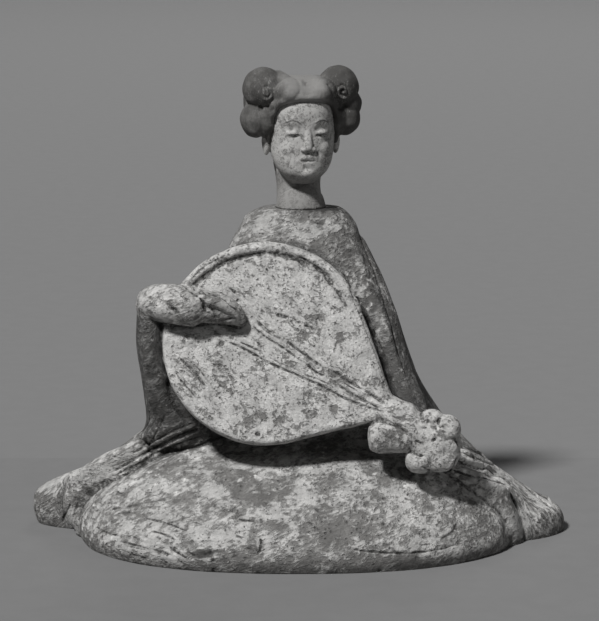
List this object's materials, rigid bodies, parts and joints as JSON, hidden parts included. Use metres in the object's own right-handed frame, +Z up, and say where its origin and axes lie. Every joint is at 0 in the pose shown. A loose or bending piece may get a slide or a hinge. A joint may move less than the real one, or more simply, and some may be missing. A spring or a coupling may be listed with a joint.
{
  "type": "tomb musician figure",
  "caption": "Kneeling tomb musician in a wide spread robe, in painted earthenware, plucking a pear-shaped lute held across the body; the head rests on the neck seam.",
  "frame": {"origin": "on the flat underside, straight below the neck", "axes": "+Z up, +X to the right of someone who looks at the figure's front, and the figure faces -Y"},
  "size_m": [0.3231, 0.1992, 0.2795],
  "materials": {
    "painted_clay": "matte, worn pale slip over grey earthenware",
    "face_slip": "matte, pale slip on the face and dark pigment on the hair"
  },
  "bodies": {
    "root": {"body_with_lute": "painted_clay", "head": "face_slip"}
  },
  "joints": []
}
